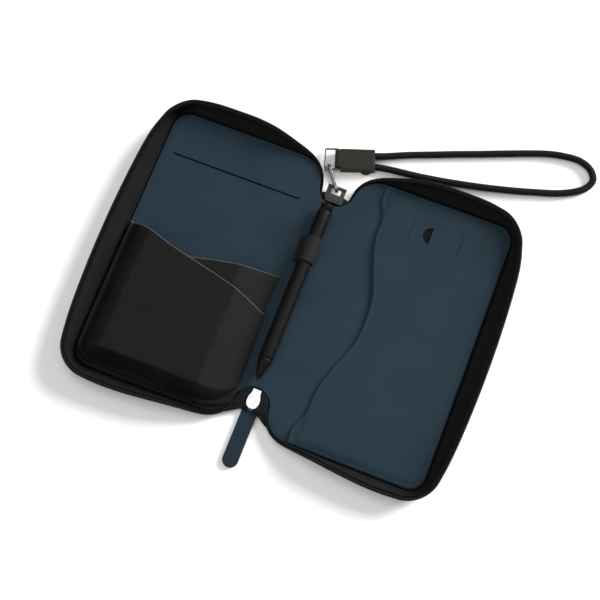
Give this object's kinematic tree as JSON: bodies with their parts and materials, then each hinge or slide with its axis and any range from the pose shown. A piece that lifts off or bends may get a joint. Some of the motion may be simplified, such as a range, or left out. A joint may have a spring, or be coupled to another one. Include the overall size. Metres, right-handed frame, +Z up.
{
  "type": "passport holder",
  "caption": "Zip-around passport and phone organiser, open flat, with moulded phone pocket, pocket panels, pen in a loop, zip puller and wrist strap.",
  "frame": {"origin": "underside of the spine, at its middle, on the plane that the open case lies on", "axes": "+X across the open case towards the passport side, +Y along the spine towards the wrist strap, +Z up out of the open case"},
  "size_m": [0.289, 0.2749, 0.0165],
  "materials": {
    "shell_fabric": "matte black woven cover",
    "pocket_liner": "black pocket lining",
    "board": "stiffener board",
    "zip_tape": "black woven zip tape",
    "zip_coil": "black nylon coil",
    "lining_leather": "dark blue fine-grained leather",
    "pocket_leather": "black smooth leather",
    "pen_loop": "dark grey band",
    "tab_leather": "dark grey-brown leather",
    "silver_metal": "polished silver metal",
    "snap_metal": "dark nickel",
    "puller_leather": "dark blue leather",
    "sleeve_leather": "grey-brown leather",
    "cord": "black braided cord",
    "pen_body": "matte black"
  },
  "bodies": {
    "spine": {"spine_cover": "shell_fabric", "spine_board": "board", "spine_lining": "lining_leather", "top_gusset": "shell_fabric", "bottom_gusset": "zip_tape", "pen_loop": "pen_loop", "anchor_tab": "tab_leather"},
    "left_cover": {"left_cover_shell": "shell_fabric", "left_board": "board", "left_rim_piping": "shell_fabric", "left_zip_tape": "zip_tape", "left_zip_coil": "zip_coil", "left_card_sleeve": "pocket_liner", "left_lining": "lining_leather", "phone_pocket_front": "pocket_leather", "phone_pocket_back": "pocket_leather"},
    "right_cover": {"right_cover_shell": "shell_fabric", "right_board": "board", "right_rim_piping": "shell_fabric", "right_zip_tape": "zip_tape", "right_zip_coil": "zip_coil", "right_lining": "lining_leather", "sim_pocket_backing": "pocket_liner", "passport_pocket_panel": "lining_leather"},
    "zip_slider": {"zip_slider": "silver_metal"},
    "zip_puller": {"puller_wire": "silver_metal", "puller_tab": "puller_leather"},
    "strap_link": {"strap_link": "silver_metal"},
    "strap_ring": {"strap_ring": "silver_metal"},
    "strap_sleeve": {"strap_sleeve": "sleeve_leather", "snap_button": "snap_metal", "wrist_cord": "cord"},
    "pen": {"pen_barrel": "pen_body", "pen_cone": "pen_body"},
    "pen_button": {"pen_button": "pen_body"},
    "pen_refill": {"pen_refill": "silver_metal"}
  },
  "joints": [
    {"name": "left_fold", "type": "hinge", "parent": "spine", "child": "left_cover", "pos_m": [-0.0105, 0, 0.0042], "axis": [0, 1, 0], "range_deg": [0, 90]},
    {"name": "right_fold", "type": "hinge", "parent": "spine", "child": "right_cover", "pos_m": [0.0105, 0, 0.0042], "axis": [0, -1, 0], "range_deg": [0, 90]},
    {"name": "zip_slide", "type": "slide", "parent": "spine", "child": "zip_slider", "axis": [0, -1, 0], "range_m": [0, 0.004]},
    {"name": "puller_swing", "type": "hinge", "parent": "zip_slider", "child": "zip_puller", "pos_m": [0.0007, -0.078, 0.0015], "axis": [1, 0, 0], "range_deg": [0, 150]},
    {"name": "link_swing", "type": "hinge", "parent": "spine", "child": "strap_link", "pos_m": [-0.0018, 0.0782, 0.0036], "axis": [-1, 0, 0], "range_deg": [-35, 60]},
    {"name": "ring_swing", "type": "hinge", "parent": "strap_link", "child": "strap_ring", "pos_m": [-0.00983, 0.08913, 0.0034], "axis": [-0.9457, -0.3251, 0], "range_deg": [-40, 30]},
    {"name": "sleeve_swing", "type": "hinge", "parent": "strap_ring", "child": "strap_sleeve", "pos_m": [-0.00652, 0.09704, 0.0034], "axis": [-0.3251, 0.9457, 0], "range_deg": [-80, 30]},
    {"name": "pen_slide", "type": "slide", "parent": "spine", "child": "pen", "axis": [0, -1, 0], "range_m": [0, 0.1]},
    {"name": "pen_click", "type": "slide", "parent": "pen", "child": "pen_button", "axis": [0, -1, 0], "range_m": [0, 0.0025], "stiffness_N_per_m": 300},
    {"name": "refill_feed", "type": "slide", "parent": "pen", "child": "pen_refill", "axis": [0, -1, 0], "range_m": [0, 0.0025]}
  ],
  "couplings": [
    {"joint": "refill_feed", "follows": "pen_click", "ratio": 1}
  ]
}
